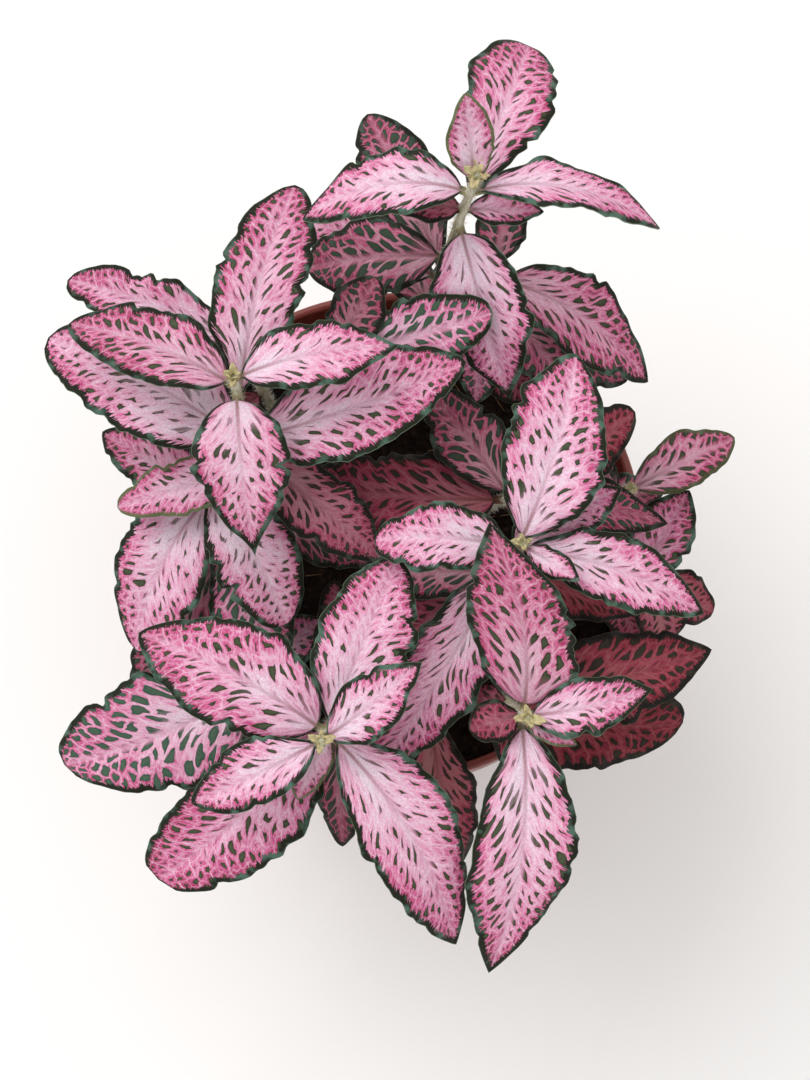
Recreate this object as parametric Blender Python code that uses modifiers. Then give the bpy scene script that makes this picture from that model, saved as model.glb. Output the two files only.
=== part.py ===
# Potted nerve plant: a nursery pot, its peat and fourteen leafy stems.
# Metres, +Z up. The pot stands on z = 0 with its axis on the world's Z axis.
from collections import namedtuple
from math import cos, log, pi, radians, sin

import bmesh
import bpy
from mathutils import Matrix, Vector

MM = 0.001

# Pot
POT_HEIGHT = 105 * MM
RIM_RADIUS = 60 * MM
LIP_WIDTH = 2.2 * MM
WALL = 1.4 * MM
BASE_RADIUS = 42 * MM
BASE_EDGE = 1 * MM
FLOOR = 2 * MM
COLLAR_DEPTH = 25 * MM
COLLAR_TAPER = 1.6 * MM
COLLAR_STEP = 1.2 * MM
POT_SIDES = 40
DRAIN_HOLES = 5
DRAIN_RADIUS = 4 * MM
DRAIN_RING = 29 * MM

# Peat
SOIL_TOP = 93 * MM
SOIL_MOUND = 2 * MM
GAP = 0.3 * MM
HOLE_SIDES = 12
HOLE_DEPTH = 13 * MM

# Stems
STEM_RADIUS = 1.5 * MM
STEM_SPANS = 7
STEM_TAPER = 0.45
STEM_LEAN = 1.6

# Blades: all shares are of the blade's half width or of its length
BLADE_THICKNESS = 0.6 * MM
PETIOLE = 0.06
PETIOLE_HALF = 0.9 * MM
FOLD = 0.22
CURL = 0.16
FULLNESS = 0.7
WAVE = 0.8 * MM
WAVES = 2.6
SMALL_LEAF = 31
NARROW_LEAF = 14

LEAF_FIELDS = "height azimuth length width rise droop roll sway belly tip"
Leaf = namedtuple("Leaf", LEAF_FIELDS, defaults=(0, 0, 0.45, 0))

# Each stem: its foot and tip in millimetres, then its leaves from the top down. A leaf has its
# height on the stem, length and width in millimetres, and its azimuth from +X, rise at the
# root, droop by the tip, roll and sideways sway in degrees. Belly is the share of its length
# where it is widest, and tip is 0 or less for a blunt end and 0.5 for a pointed one.
STEMS = {
    "stem_back": ((8, 49), (18, 55, 186), [
        Leaf(183, 99, 20, 10, 60, 20),
        Leaf(179, 171, 36, 15, 30, 70, 0, 16),
        Leaf(179, 9, 40, 13, 25, 60, -15, -18, 0.5, -0.05),
        Leaf(172, 178, 16, 8, 22, 30),
        Leaf(173, 64, 42, 20, 36, 72, 0, 5, 0.6, -0.2),
        Leaf(172, 358, 17, 8, 10, 20, 0, 0, 0.45, 0.1),
        Leaf(166, 285, 42, 21, -13, 42, 25, 4, 0.4, 0.35),
        Leaf(150, 182, 32, 18, 10, 36, -15, 0, 0.5, -0.15),
        Leaf(143, 117, 39, 18, 32, 34, 0, 0, 0.5, -0.1),
        Leaf(138, 157, 36, 16, 20, 28, 0, 0, 0.45, -0.1),
        Leaf(120, 120, 24, 12, 5, 25),
        Leaf(114, 60, 22, 11, 0, 25),
    ]),
    "stem_back_low": ((21, 38), (24, 53, 146), [
        Leaf(143, 80, 16, 12, 35, 20, 0, 0, 0.55, -0.3),
        Leaf(140, 341, 42, 19, 15, 46, 0, -14, 0.48, 0.1),
        Leaf(134, 314, 31, 15, 5, 26, 0, -4, 0.45, -0.1),
        Leaf(126, 262, 20, 12, 5, 20),
        Leaf(120, 346, 36, 15, 10, 30, 0, 0, 0.5, -0.2),
        Leaf(116, 316, 21, 13, 5, 30),
    ]),
    "stem_left": ((-28, -4), (-33, 20, 163), [
        Leaf(162, 16, 36, 15, 28, 32, 0, -8, 0.45, 0.2),
        Leaf(160, 152, 38, 17, 22, 34, 0, 8, 0.45, -0.1),
        Leaf(155, 84, 48, 20, 34, 28, 0, -9, 0.55, -0.15),
        Leaf(159, 273, 37, 21, 4, 48, 0, 3, 0.38, 0.7),
        Leaf(145, 6, 51, 23, 28, 23, 0, 9, 0.45, -0.05),
        Leaf(143, 147, 50, 25, 25, 30, 0, 6, 0.47, -0.2),
        Leaf(141, 321, 38, 16, 8, 26),
        Leaf(136, 196, 32, 13, 7, 20, 0, 0, 0.45, -0.2),
        Leaf(118, 335, 27, 12, 5, 22),
    ]),
    "stem_left_low": ((-35, -8), (-42, 7, 133), [
        Leaf(131, 306, 38, 20, 6, 32, 0, -6, 0.5, -0.25),
        Leaf(127, 228, 39, 23, 7, 34, 0, 16, 0.5, -0.2),
        Leaf(124, 148, 32, 15, 14, 28),
        Leaf(120, 290, 40, 18, 10, 28, 0, 0, 0.5, -0.1),
        Leaf(113, 240, 48, 15, 4, 30),
        Leaf(110, 175, 20, 11, 8, 22),
    ]),
    "stem_back_left": ((-9, 22), (-12, 30, 149), [
        Leaf(148, 55, 20, 13, 48, 24, 0, 0, 0.5, -0.2),
        Leaf(147.4, 1, 37, 16, 31, 16, 24, 6, 0.5, -0.3),
        Leaf(122, 194, 23, 13, 8, 26),
        Leaf(112, 100, 22, 11, 5, 25),
    ]),
    "stem_back_left_low": ((-27, 28), (-36, 39, 130), [
        Leaf(128, 154, 42, 15, 22, 28, 0, 6, 0.5, -0.25),
        Leaf(123, 141, 14, 10, 40, 20),
        Leaf(119, 187, 26, 13, 10, 30),
        Leaf(113, 221, 24, 13, 5, 26),
    ]),
    "stem_right": ((20, -14), (28, -16, 161), [
        Leaf(159, 324, 15, 6, 25, 20),
        Leaf(156, 62, 42, 23, 34, 26, 0, 10, 0.5),
        Leaf(154, 169, 30, 15, 20, 34, 0, 8, 0.5, -0.3),
        Leaf(153, 353, 42, 16, 20, 40, 0, -12, 0.5, 0.1),
        Leaf(148, 36, 28, 14, 30, 22, 0, -8, 0.45, 0.2),
        Leaf(142, 246, 58, 19, 10, 36, 0, -8, 0.45, 0.1),
        Leaf(136, 341, 33, 13, 10, 30),
        Leaf(128, 183, 25, 13, 10, 20),
        Leaf(120, 217, 27, 13, 5, 22),
        Leaf(112, 300, 20, 11, 5, 25),
    ]),
    "stem_middle": ((15, 2), (28, 1, 134), [
        Leaf(132, 129, 31, 15, 30, 30, 0, 0, 0.5, -0.1),
        Leaf(130, 185, 46, 20, 18, 28, 0, -8, 0.45, -0.2),
        Leaf(128, 20, 36, 16, 30, 20, 0, 10, 0.5, -0.2),
        Leaf(124, 1, 40, 15, 26, 28, 0, -10, 0.45, 0.1),
        Leaf(118, 95, 24, 12, 10, 24),
    ]),
    "stem_front_left": ((-9, -40), (-14, -57, 156), [
        Leaf(154, 29, 27, 13, 34, 26, 0, 6, 0.45, 0.2),
        Leaf(154, 212, 30, 14, 15, 30, 0, -6, 0.5),
        Leaf(149, 146, 45, 23, 34, 40, 0, 7),
        Leaf(149, 68, 40, 20, 14, 20, 0, 0, 0.5, -0.15),
        Leaf(148, 317, 54, 22, 8, 52, 0, -14, 0.48, 0.15),
        Leaf(146, 245, 17, 8, 0, 36),
        Leaf(137, 232, 51, 24, 10, 32, 0, -10, 0.52, -0.35),
        Leaf(131, 271, 34, 11, -20, 30),
        Leaf(118, 250, 22, 11, 0, 25),
        Leaf(112, 97, 30, 13, 6, 22),
    ]),
    "stem_front_right": ((21, -38), (29, -52, 155), [
        Leaf(152, 0, 27, 13, 28, 28, 0, 10, 0.45, 0.2),
        Leaf(150, 79, 39, 23, 36, 26, 0, 21, 0.42, 0.2),
        Leaf(150, 321, 13, 5, 14, 20, 0, 8),
        Leaf(150, 197, 12, 9, 18, 20, 0, 0, 0.5, -0.2),
        Leaf(148, 277, 57, 22, 8, 52, 0, -13, 0.48, 0.25),
        Leaf(140, 10, 45, 20, 18, 28, 0, 5, 0.45, 0.1),
        Leaf(138, 174, 11, 8, 20, 20),
        Leaf(133, 334, 38, 22, 10, 30, 0, 20, 0.5, -0.2),
        Leaf(118, 300, 24, 12, -2, 25),
        Leaf(112, 152, 22, 10, 5, 20),
    ]),
    "stem_far_right": ((42, 4), (55, 4, 129), [
        Leaf(127, 24, 27, 13, 25, 20, 0, 0, 0.5, -0.1),
        Leaf(125, 148, 15, 10, 8, 24),
        Leaf(114, 15, 18, 10, 5, 25),
    ]),
    "stem_right_low": ((44, -12), (62, -15, 118), [
        Leaf(116, 293, 17, 13, -12, 20, 0, -10, 0.5, -0.1),
        Leaf(115, 342, 20, 12, -15, 20, 0, 0, 0.5, -0.2),
        Leaf(113, 58, 25, 15, 36, 24, 0, 0, 0.45, 0.1),
        Leaf(109, 287, 15, 11, 0, 30),
    ]),
    "stem_front_left_low": ((-24, -26), (-33, -41, 116), [
        Leaf(113, 217, 46, 28, 8, 20, 0, -14, 0.45, -0.25),
        Leaf(112, 330, 14, 11, 0, 20),
        Leaf(109, 45, 18, 11, 5, 20),
    ]),
    "stem_front_low": ((6, -38), (9, -46, 122), [
        Leaf(118, 280, 41, 16, -13, 30, 0, 0, 0.5, -0.1),
    ]),
}

# Colours, linear
POT_COLOUR = (0.30, 0.055, 0.03)
SOIL_COLOUR = (0.020, 0.012, 0.008)
PLANT_COLOUR = (0.60, 0.15, 0.28)


def material(name, colour, roughness):
    result = bpy.data.materials.new(name)
    result.use_nodes = True
    shader = result.node_tree.nodes["Principled BSDF"]
    shader.inputs["Base Color"].default_value = (*colour, 1)
    shader.inputs["Roughness"].default_value = roughness
    shader.inputs["Metallic"].default_value = 0
    return result


def add_object(name, data, collection):
    result = bpy.data.objects.new(name, data)
    collection.objects.link(result)
    return result


def turned(name, profile, sides, collection):
    mesh = bpy.data.meshes.new(name)
    spans = [(index, index + 1) for index in range(len(profile) - 1)]
    mesh.from_pydata([(radius, 0, height) for radius, height in profile], spans, [])
    result = add_object(name, mesh, collection)
    screw = result.modifiers.new("turn", "SCREW")
    screw.steps = sides
    screw.render_steps = sides
    screw.use_merge_vertices = True
    screw.merge_threshold = 0.00001
    screw.use_smooth_shade = False
    return result


def upright_cutter(name, radius, sides, bottom, top, spot, collection):
    mesh = bpy.data.meshes.new(name)
    shape = bmesh.new()
    bmesh.ops.create_cone(shape, cap_ends=True, segments=sides, radius1=radius, radius2=radius,
                          depth=top - bottom)
    shape.to_mesh(mesh)
    shape.free()
    result = add_object(name, mesh, collection)
    result.location = (spot[0], spot[1], (bottom + top) / 2)
    result.hide_render = True
    result.display_type = "WIRE"
    return result


def cut(target, cutters):
    boolean = target.modifiers.new("cut", "BOOLEAN")
    boolean.operation = "DIFFERENCE"
    boolean.operand_type = "COLLECTION"
    boolean.collection = cutters


def make_pot(collection, cutters):
    lip = RIM_RADIUS - LIP_WIDTH
    collar_foot = POT_HEIGHT - COLLAR_DEPTH
    collar_outer = RIM_RADIUS - COLLAR_TAPER
    wall_outer = collar_outer - COLLAR_STEP
    profile = [
        (0, FLOOR),
        (BASE_RADIUS - WALL, FLOOR),
        (wall_outer - WALL, collar_foot - WALL),
        (collar_outer - WALL, collar_foot + WALL),
        (lip + LIP_WIDTH / 4, POT_HEIGHT - LIP_WIDTH),
        (lip, POT_HEIGHT - LIP_WIDTH * 0.7),
        (lip + LIP_WIDTH / 4, POT_HEIGHT),
        (RIM_RADIUS - LIP_WIDTH / 5, POT_HEIGHT),
        (RIM_RADIUS, POT_HEIGHT - LIP_WIDTH / 3),
        (collar_outer, collar_foot),
        (wall_outer, collar_foot),
        (BASE_RADIUS, BASE_EDGE),
        (BASE_RADIUS - BASE_EDGE, 0),
        (0, 0),
    ]
    pot = turned("pot", profile, POT_SIDES, collection)
    for index in range(DRAIN_HOLES):
        turn = 2 * pi * index / DRAIN_HOLES
        spot = (DRAIN_RING * cos(turn), DRAIN_RING * sin(turn))
        upright_cutter(f"drain_hole_{index + 1}", DRAIN_RADIUS, HOLE_SIDES, -FLOOR, 2 * FLOOR,
                       spot, cutters)
    cut(pot, cutters)
    pot.data.materials.append(material("terracotta_plastic", POT_COLOUR, 0.5))
    return pot


def make_soil(collection, cutters):
    collar_foot = POT_HEIGHT - COLLAR_DEPTH
    collar_inner = RIM_RADIUS - COLLAR_TAPER - WALL
    wall_inner = collar_inner - COLLAR_STEP
    profile = [
        (0, SOIL_TOP),
        (0.5 * RIM_RADIUS, SOIL_TOP - 0.2 * SOIL_MOUND),
        (0.8 * RIM_RADIUS, SOIL_TOP - 0.6 * SOIL_MOUND),
        (collar_inner - GAP, SOIL_TOP - SOIL_MOUND),
        (collar_inner - GAP, collar_foot + WALL + GAP),
        (wall_inner - GAP, collar_foot - WALL - GAP),
        (BASE_RADIUS - WALL - GAP, FLOOR + GAP),
        (0, FLOOR + GAP),
    ]
    soil = turned("soil", profile, POT_SIDES, collection)
    hole_radius = (STEM_RADIUS + GAP) / cos(pi / HOLE_SIDES)
    for name, (foot, _, _) in STEMS.items():
        upright_cutter(f"hole_{name}", hole_radius, HOLE_SIDES, SOIL_TOP - HOLE_DEPTH,
                       SOIL_TOP + HOLE_DEPTH, Vector(foot) * MM, cutters)
    cut(soil, cutters)
    soil.data.materials.append(material("peat", SOIL_COLOUR, 0.95))
    return soil


def stem_point(foot, tip, height):
    climbed = max(0, (height - SOIL_TOP) / (tip[2] * MM - SOIL_TOP))
    lean = climbed ** STEM_LEAN
    return Vector((
        (foot[0] + (tip[0] - foot[0]) * lean) * MM,
        (foot[1] + (tip[1] - foot[1]) * lean) * MM,
        height,
    ))


def mesh_of(source, collection):
    evaluated = source.evaluated_get(bpy.context.evaluated_depsgraph_get())
    mesh = bpy.data.meshes.new_from_object(evaluated)
    shape = bmesh.new()
    shape.from_mesh(mesh)
    bmesh.ops.remove_doubles(shape, verts=shape.verts, dist=0.00001)
    shape.to_mesh(mesh)
    shape.free()
    result = add_object(source.name + "_mesh", mesh, collection)
    result.matrix_world = source.matrix_world.copy()
    bpy.data.objects.remove(source)
    return result


def make_stalk(name, foot, tip, collection):
    curve = bpy.data.curves.new(name, "CURVE")
    curve.dimensions = "3D"
    curve.bevel_depth = STEM_RADIUS
    curve.bevel_resolution = 2
    curve.use_fill_caps = True
    bottom = SOIL_TOP - HOLE_DEPTH + GAP
    top = tip[2] * MM
    heights = [bottom] + [SOIL_TOP + (top - SOIL_TOP) * step / STEM_SPANS
                          for step in range(STEM_SPANS + 1)]
    spline = curve.splines.new("POLY")
    spline.points.add(len(heights) - 1)
    for point, height in zip(spline.points, heights):
        point.co = (*stem_point(foot, tip, height), 1)
        climbed = max(0, (height - SOIL_TOP) / (top - SOIL_TOP))
        point.radius = 1 - STEM_TAPER * climbed
    return mesh_of(add_object(name + "_stalk", curve, collection), collection)


def half_width(leaf, s):
    if s >= 1:
        return 0
    u = max(0, (s - PETIOLE) / (1 - PETIOLE))
    outline = sin(pi * u ** (log(0.5) / log(leaf.belly))) ** (FULLNESS + leaf.tip * u)
    return max(leaf.width * MM / 2 * outline, PETIOLE_HALF * (1 - s))


def blade_point(leaf, phase, s, t):
    rise = radians(leaf.rise)
    droop = radians(leaf.droop)
    roll = radians(leaf.roll)
    tilt = rise - droop * s
    reach = leaf.length * MM / droop
    half = half_width(leaf, s)
    spread = abs(t)
    wave = WAVE * sin(2 * pi * WAVES * s + phase + (2 if t > 0 else 0)) * spread ** 2
    lift = half * (FOLD * spread - CURL * spread ** 3) + wave * half * 2 / (leaf.width * MM)
    along = Vector((
        reach * (sin(rise) - sin(tilt)),
        leaf.length * MM * radians(leaf.sway) * s * s,
        reach * (cos(tilt) - cos(rise)),
    ))
    up = Vector((-sin(tilt), 0, cos(tilt)))
    left = Vector((0, 1, 0))
    side = left * cos(roll) + up * sin(roll)
    normal = up * cos(roll) - left * sin(roll)
    return along + side * (half * t) + normal * lift


def make_blade(name, leaf, phase, base, collection):
    rows = 6 if leaf.length < SMALL_LEAF else 8
    columns = 2 if leaf.width < NARROW_LEAF else 4
    mesh = bpy.data.meshes.new(name)
    shape = bmesh.new()
    bmesh.ops.create_grid(shape, x_segments=rows, y_segments=columns, size=1)
    for vert in shape.verts:
        vert.co = blade_point(leaf, phase, (vert.co.x + 1) / 2, vert.co.y)
    bmesh.ops.remove_doubles(shape, verts=shape.verts, dist=0.00001)
    bmesh.ops.triangulate(shape, faces=shape.faces)
    shape.to_mesh(mesh)
    shape.free()
    blade = add_object(name, mesh, collection)
    blade.location = base
    blade.rotation_euler.z = radians(leaf.azimuth)
    shell = blade.modifiers.new("thickness", "SOLIDIFY")
    shell.thickness = BLADE_THICKNESS
    shell.offset = 0
    return blade


def make_leafy_stem(name, foot, tip, leaves, collection, leftovers):
    blades = bpy.data.collections.new(name + "_blades")
    leftovers.children.link(blades)
    for index, leaf in enumerate(leaves):
        base = stem_point(foot, tip, leaf.height * MM)
        make_blade(f"{name}_leaf_{index + 1}", leaf, 2.4 * index, base, blades)
    stalk = make_stalk(name, foot, tip, collection)
    stalk.name = name
    union = stalk.modifiers.new("leaves", "BOOLEAN")
    union.operation = "UNION"
    union.operand_type = "COLLECTION"
    union.collection = blades
    bpy.context.view_layer.update()
    evaluated = stalk.evaluated_get(bpy.context.evaluated_depsgraph_get())
    fused = bpy.data.meshes.new_from_object(evaluated)
    stalk.modifiers.clear()
    stalk.data = fused
    for blade in list(blades.objects):
        bpy.data.objects.remove(blade)
    stalk.data.materials.clear()
    stalk.data.materials.append(material(name + "_tissue", PLANT_COLOUR, 0.5))
    return stalk


def main():
    for leftover in list(bpy.data.objects):
        bpy.data.objects.remove(leftover)
    scene = bpy.context.scene
    plant = bpy.data.collections.new("potted_nerve_plant")
    drains = bpy.data.collections.new("drain_cutters")
    holes = bpy.data.collections.new("stem_hole_cutters")
    for collection in (plant, drains, holes):
        scene.collection.children.link(collection)
    make_pot(plant, drains)
    make_soil(plant, holes)
    for name, (foot, tip, leaves) in STEMS.items():
        make_leafy_stem(name, foot, tip, leaves, plant, holes)


main()
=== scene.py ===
import math
import random
from collections import namedtuple

import bmesh
import bpy
from mathutils import Matrix, Vector, noise


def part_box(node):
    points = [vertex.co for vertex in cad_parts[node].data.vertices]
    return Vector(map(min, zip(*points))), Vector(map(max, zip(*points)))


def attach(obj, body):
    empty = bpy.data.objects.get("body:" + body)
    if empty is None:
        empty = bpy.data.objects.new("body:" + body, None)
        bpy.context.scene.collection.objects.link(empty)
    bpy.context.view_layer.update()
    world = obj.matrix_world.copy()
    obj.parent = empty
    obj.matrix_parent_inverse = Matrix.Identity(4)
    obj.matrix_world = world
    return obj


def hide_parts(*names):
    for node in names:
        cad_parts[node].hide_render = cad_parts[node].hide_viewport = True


# Nerve plant in a plastic nursery pot, seen steeply from above. Lengths are in millimetres
# until a point is made, and metres from there on.
mm = 0.001
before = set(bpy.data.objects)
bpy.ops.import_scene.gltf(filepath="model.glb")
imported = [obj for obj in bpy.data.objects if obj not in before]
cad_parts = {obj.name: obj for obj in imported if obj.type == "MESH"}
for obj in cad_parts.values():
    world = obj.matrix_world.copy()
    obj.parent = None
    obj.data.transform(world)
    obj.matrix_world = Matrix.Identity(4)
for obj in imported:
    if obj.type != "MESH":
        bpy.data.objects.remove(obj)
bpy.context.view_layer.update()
_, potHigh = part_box("pot")
soilLow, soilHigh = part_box("soil")
print("frame loaded,", len(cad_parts), "solids")

# A leaf's height on its stem, length and width are in millimetres. Its azimuth from +X, rise at
# the root, droop by the tip, roll and sway are in degrees. Belly is where it is widest, and tip
# is 0 or less for a blunt end and 0.5 for a pointed one.
Leaf = namedtuple("Leaf", "height azimuth length width rise droop look roll sway belly tip",
                  defaults=("pink", 0, 0, 0.45, 0))

stems = {
    "stem_back": {"foot": (8, 49), "tip": (18, 55, 186), "leaves": [
        Leaf(183, 99, 20, 10, 60, 20, "young"),
        Leaf(179, 171, 36, 15, 30, 70, "pale", 0, 16),
        Leaf(179, 9, 40, 13, 25, 60, "pale", -15, -18, 0.5, -0.05),
        Leaf(172, 178, 16, 8, 22, 30, "brickAndShade"),
        Leaf(173, 64, 42, 20, 36, 72, "pink", 0, 5, 0.6, -0.2),
        Leaf(172, 358, 17, 8, 10, 20, "pink", 0, 0, 0.45, 0.1),
        Leaf(166, 285, 42, 21, -13, 42, "pale", 25, 4, 0.4, 0.35),
        Leaf(150, 182, 32, 18, 10, 36, "net", -15, 0, 0.5, -0.15),
        Leaf(143, 117, 39, 18, 32, 34, "net", 0, 0, 0.5, -0.1),
        Leaf(138, 157, 36, 16, 20, 28, "pink", 0, 0, 0.45, -0.1),
        Leaf(120, 120, 24, 12, 5, 25, "net"),
        Leaf(114, 60, 22, 11, 0, 25, "shade"),
    ]},
    "stem_back_low": {"foot": (21, 38), "tip": (24, 53, 146), "leaves": [
        Leaf(143, 80, 16, 12, 35, 20, "net", 0, 0, 0.55, -0.3),
        Leaf(140, 341, 42, 19, 15, 46, "hot", 0, -14, 0.48, 0.1),
        Leaf(134, 314, 31, 15, 5, 26, "net", 0, -4, 0.45, -0.1),
        Leaf(126, 262, 20, 12, 5, 20, "old"),
        Leaf(120, 346, 36, 15, 10, 30, "net", 0, 0, 0.5, -0.2),
        Leaf(116, 316, 21, 13, 5, 30, "shade"),
    ]},
    "stem_left": {"foot": (-28, -4), "tip": (-33, 20, 163), "leaves": [
        Leaf(162, 16, 36, 15, 28, 32, "pale", 0, -8, 0.45, 0.2),
        Leaf(160, 152, 38, 17, 22, 34, "hot", 0, 8, 0.45, -0.1),
        Leaf(155, 84, 48, 20, 34, 28, "pink", 0, -9, 0.55, -0.15),
        Leaf(159, 273, 37, 21, 4, 48, "pink", 0, 3, 0.38, 0.7),
        Leaf(145, 6, 51, 23, 28, 23, "pink", 0, 9, 0.45, -0.05),
        Leaf(143, 147, 50, 25, 25, 30, "paleAndPaintedLight", 0, 6, 0.47, -0.2),
        Leaf(141, 321, 38, 16, 8, 26, "dim"),
        Leaf(136, 196, 32, 13, 7, 20, "young", 0, 0, 0.45, -0.2),
        Leaf(118, 335, 27, 12, 5, 22, "net"),
    ]},
    "stem_left_low": {"foot": (-35, -8), "tip": (-42, 7, 133), "leaves": [
        Leaf(131, 306, 38, 20, 6, 32, "paleAndPaintedLight", 0, -6, 0.5, -0.25),
        Leaf(127, 228, 39, 23, 7, 34, "pale", 0, 16, 0.5, -0.2),
        Leaf(124, 148, 32, 15, 14, 28, "pink"),
        Leaf(120, 290, 40, 18, 10, 28, "old", 0, 0, 0.5, -0.1),
        Leaf(113, 240, 48, 15, 4, 30, "net"),
        Leaf(110, 175, 20, 11, 8, 22, "shade"),
    ]},
    "stem_back_left": {"foot": (-9, 22), "tip": (-12, 30, 149), "leaves": [
        Leaf(148, 55, 20, 13, 48, 24, "net", 0, 0, 0.5, -0.2),
        Leaf(147.4, 1, 37, 16, 31, 16, "old", 24, 6, 0.5, -0.3),
        Leaf(122, 194, 23, 13, 8, 26, "shade"),
        Leaf(112, 100, 22, 11, 5, 25, "shade"),
    ]},
    "stem_back_left_low": {"foot": (-27, 28), "tip": (-36, 39, 130), "leaves": [
        Leaf(128, 154, 42, 15, 22, 28, "pale", 0, 6, 0.5, -0.25),
        Leaf(123, 141, 14, 10, 40, 20, "shade"),
        Leaf(119, 187, 26, 13, 10, 30, "brickAndShade"),
        Leaf(113, 221, 24, 13, 5, 26, "shade"),
    ]},
    "stem_right": {"foot": (20, -14), "tip": (28, -16, 161), "leaves": [
        Leaf(159, 324, 15, 6, 25, 20, "pale"),
        Leaf(156, 62, 42, 23, 34, 26, "pale", 0, 10, 0.5),
        Leaf(154, 169, 30, 15, 20, 34, "pale", 0, 8, 0.5, -0.3),
        Leaf(153, 353, 42, 16, 20, 40, "pale", 0, -12, 0.5, 0.1),
        Leaf(148, 36, 28, 14, 30, 22, "pale", 0, -8, 0.45, 0.2),
        Leaf(142, 246, 58, 19, 10, 36, "pink", 0, -8, 0.45, 0.1),
        Leaf(136, 341, 33, 13, 10, 30, "brickAndShade"),
        Leaf(128, 183, 25, 13, 10, 20, "net"),
        Leaf(120, 217, 27, 13, 5, 22, "shade"),
        Leaf(112, 300, 20, 11, 5, 25, "shade"),
    ]},
    "stem_middle": {"foot": (15, 2), "tip": (28, 1, 134), "leaves": [
        Leaf(132, 129, 31, 15, 30, 30, "net", 0, 0, 0.5, -0.1),
        Leaf(130, 185, 46, 20, 18, 28, "shade", 0, -8, 0.45, -0.2),
        Leaf(128, 20, 36, 16, 30, 20, "plain", 0, 10, 0.5, -0.2),
        Leaf(124, 1, 40, 15, 26, 28, "net", 0, -10, 0.45, 0.1),
        Leaf(118, 95, 24, 12, 10, 24, "net"),
    ]},
    "stem_front_left": {"foot": (-9, -40), "tip": (-14, -57, 156), "leaves": [
        Leaf(154, 29, 27, 13, 34, 26, "pale", 0, 6, 0.45, 0.2),
        Leaf(154, 212, 30, 14, 15, 30, "pale", 0, -6, 0.5),
        Leaf(149, 146, 45, 23, 34, 40, "pink", 0, 7),
        Leaf(149, 68, 40, 20, 14, 20, "pale", 0, 0, 0.5, -0.15),
        Leaf(148, 317, 54, 22, 8, 52, "pale", 0, -14, 0.48, 0.15),
        Leaf(146, 245, 17, 8, 0, 36, "young"),
        Leaf(137, 232, 51, 24, 10, 32, "pink", 0, -10, 0.52, -0.35),
        Leaf(131, 271, 34, 11, -20, 30, "net"),
        Leaf(118, 250, 22, 11, 0, 25, "shade"),
        Leaf(112, 97, 30, 13, 6, 22, "net"),
    ]},
    "stem_front_right": {"foot": (21, -38), "tip": (29, -52, 155), "leaves": [
        Leaf(152, 0, 27, 13, 28, 28, "pink", 0, 10, 0.45, 0.2),
        Leaf(150, 79, 39, 23, 36, 26, "hot", 0, 21, 0.42, 0.2),
        Leaf(150, 321, 13, 5, 14, 20, "young", 0, 8),
        Leaf(150, 197, 12, 9, 18, 20, "brickAndShade", 0, 0, 0.5, -0.2),
        Leaf(148, 277, 57, 22, 8, 52, "spotted", 0, -13, 0.48, 0.25),
        Leaf(140, 10, 45, 20, 18, 28, "red", 0, 5, 0.45, 0.1),
        Leaf(138, 174, 11, 8, 20, 20, "shade"),
        Leaf(133, 334, 38, 22, 10, 30, "red", 0, 20, 0.5, -0.2),
        Leaf(118, 300, 24, 12, -2, 25, "shade"),
        Leaf(112, 152, 22, 10, 5, 20, "brickAndShade"),
    ]},
    "stem_far_right": {"foot": (42, 4), "tip": (55, 4, 129), "leaves": [
        Leaf(127, 24, 27, 13, 25, 20, "celled", 0, 0, 0.5, -0.1),
        Leaf(125, 148, 15, 10, 8, 24, "net"),
        Leaf(114, 15, 18, 10, 5, 25, "net"),
    ]},
    "stem_right_low": {"foot": (44, -12), "tip": (62, -15, 118), "leaves": [
        Leaf(116, 293, 17, 13, -12, 20, "plain", 0, -10, 0.5, -0.1),
        Leaf(115, 342, 20, 12, -15, 20, "plain", 0, 0, 0.5, -0.2),
        Leaf(113, 58, 25, 15, 36, 24, "hot", 0, 0, 0.45, 0.1),
        Leaf(109, 287, 15, 11, 0, 30, "shade"),
    ]},
    "stem_front_left_low": {"foot": (-24, -26), "tip": (-33, -41, 116), "leaves": [
        Leaf(113, 217, 46, 28, 8, 20, "old", 0, -14, 0.45, -0.25),
        Leaf(112, 330, 14, 11, 0, 20, "shade"),
        Leaf(109, 45, 18, 11, 5, 20, "old"),
    ]},
    "stem_front_low": {"foot": (6, -38), "tip": (9, -46, 122), "leaves": [
        Leaf(118, 280, 41, 16, -13, 30, "plain", 0, 0, 0.5, -0.1),
    ]},
}

# How a leaf is coloured: the share of white along its rib, the size of its green islands, how
# far it is darkened to brick red, partly the redder colour of older leaves and partly painted
# shade on leaves that lie in shade below, and how yellow its young margin is.
looks = {
    "pale": (0.80, 0.23, 0.0, 0.0),
    # this look is a pale leaf given extra white as painted light, offsetting the shade that the
    # leaf above casts on it
    "paleAndPaintedLight": (1.10, 0.22, 0.0, 0.0),
    "spotted": (0.75, 0.38, 0.0, 0.0),
    "pink": (0.55, 0.31, 0.03, 0.0),
    "hot": (0.30, 0.40, 0.20, 0.0),
    "old": (0.55, 0.62, 0.05, 0.0),
    "net": (0.35, 0.72, 0.55, 0.0),
    "dim": (0.60, 0.38, 0.70, 0.0),
    "red": (0.12, 0.57, 0.90, 0.0),
    "celled": (0.55, 0.52, 0.45, 0.3),
    "plain": (0.65, 0.36, 0.80, 0.0),
    "shade": (0.10, 0.52, 0.76, 0.0),
    "brickAndShade": (0.20, 0.36, 0.85, 0.0),
    "young": (0.95, 0.15, 0.0, 0.45),
    "bud": (0.80, 0.0, 0.0, 1.0),
}
lookSpread = {"white": 0.12, "islands": 0.05, "brickAndShade": 0.10}  # how much leaves differ in a look


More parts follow.
